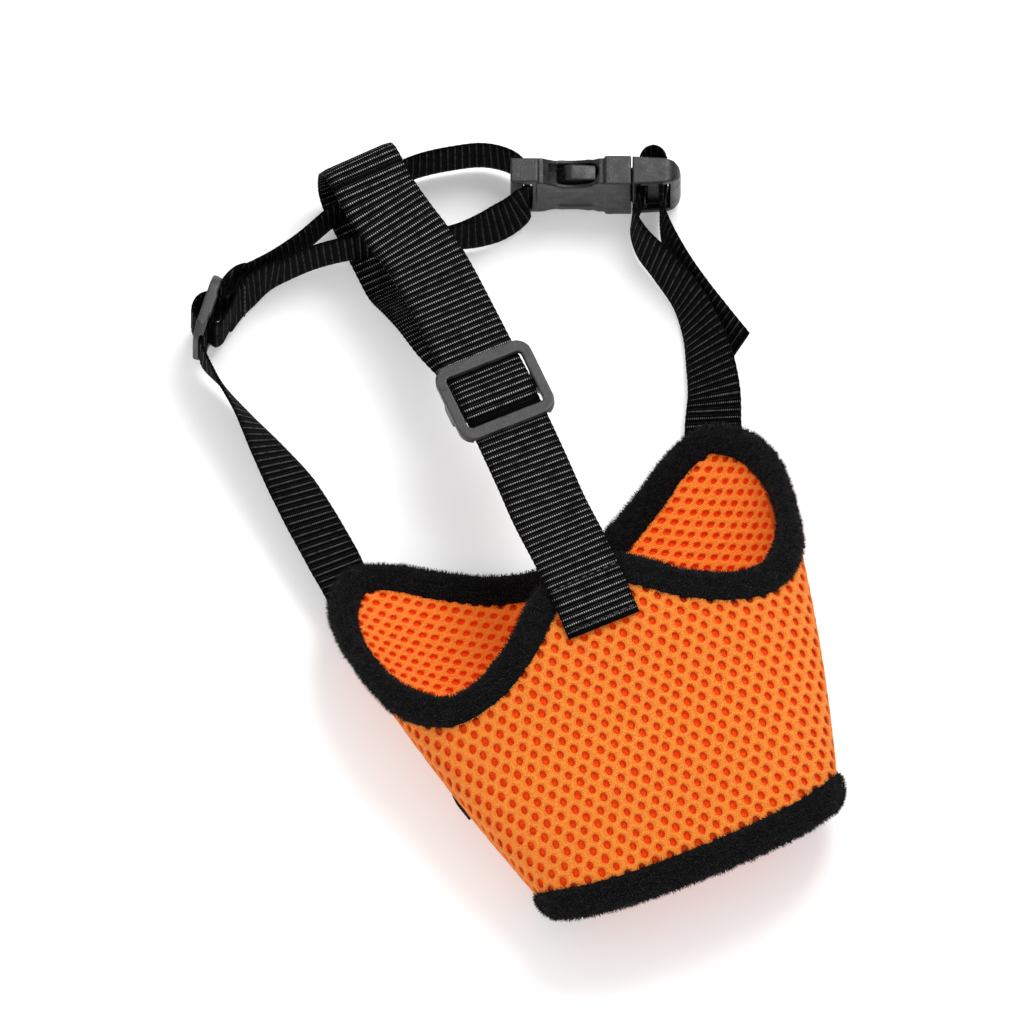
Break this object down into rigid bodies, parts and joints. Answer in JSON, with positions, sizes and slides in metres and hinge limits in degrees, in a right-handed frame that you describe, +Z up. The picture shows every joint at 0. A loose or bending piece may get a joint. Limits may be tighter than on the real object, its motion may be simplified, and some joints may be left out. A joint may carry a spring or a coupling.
{
  "type": "soft mesh dog muzzle",
  "caption": "Tapered tube of bound spacer mesh with an adjustable head strap, an adjustable neck strap and a side-release buckle.",
  "frame": {"origin": "on the table under the middle of the whole object's box", "axes": "+Y from the nose opening towards the neck strap, +Z up from the chin to the nose bridge, +X to the buckle's side"},
  "size_m": [0.1711, 0.2793, 0.053],
  "materials": {
    "orange_mesh": "open knit spacer mesh",
    "seam_tape": "flat woven tape",
    "plush_tape": "short plush pile",
    "webbing": "ribbed polyester webbing",
    "thread": "sewing thread",
    "tag_cloth": "folded ribbon",
    "slider_plastic": "fine grained moulding",
    "buckle_plastic": "fine grained moulding"
  },
  "bodies": {
    "muzzle": {"top_panel": "orange_mesh", "chin_panel": "orange_mesh", "left_seam": "seam_tape", "right_seam": "seam_tape", "face_binding": "plush_tape", "nose_binding": "plush_tape", "side_tag": "tag_cloth", "head_strap": "webbing", "head_strap_stitches": "thread", "neck_strap": "webbing", "left_root_stitches": "thread", "right_strap": "webbing", "right_root_stitches": "thread", "buckle_socket": "buckle_plastic"},
    "plug": {"buckle_plug": "buckle_plastic"},
    "upper_prong": {"upper_prong": "buckle_plastic"},
    "lower_prong": {"lower_prong": "buckle_plastic"},
    "head_slider": {"head_slider": "slider_plastic", "head_strap_return": "webbing", "head_return_stitches": "thread"},
    "neck_slider": {"neck_slider": "slider_plastic", "neck_strap_return": "webbing", "neck_return_stitches": "thread"}
  },
  "joints": [
    {"name": "buckle_release", "type": "slide", "parent": "muzzle", "child": "plug", "axis": [0.9026, -0.4305, 0], "range_m": [0, 0.02], "deforming": ["right_strap"]},
    {"name": "upper_prong_press", "type": "hinge", "parent": "plug", "child": "upper_prong", "pos_m": [0.06881, 0.09655, 0.0203], "axis": [0.4305, 0.9026, 0], "range_deg": [-6, 0], "stiffness_Nm_per_rad": 0.05},
    {"name": "lower_prong_press", "type": "hinge", "parent": "plug", "child": "lower_prong", "pos_m": [0.06881, 0.09655, 0.0057], "axis": [0.4305, 0.9026, 0], "range_deg": [0, 6], "stiffness_Nm_per_rad": 0.05},
    {"name": "head_strap_adjust", "type": "slide", "parent": "muzzle", "child": "head_slider", "axis": [0.0445, 0.988, -0.1482], "range_m": [-0.016, 0.016], "deforming": ["head_strap_return"]},
    {"name": "neck_strap_adjust", "type": "slide", "parent": "muzzle", "child": "neck_slider", "axis": [0.682, 0.7314, 0], "range_m": [-0.007, 0.007], "deforming": ["neck_strap", "neck_strap_return"]}
  ],
  "couplings": [
    {"joint": "upper_prong_press", "follows": "buckle_release", "rad_per_m": -5.23},
    {"joint": "lower_prong_press", "follows": "buckle_release", "rad_per_m": 5.23}
  ]
}
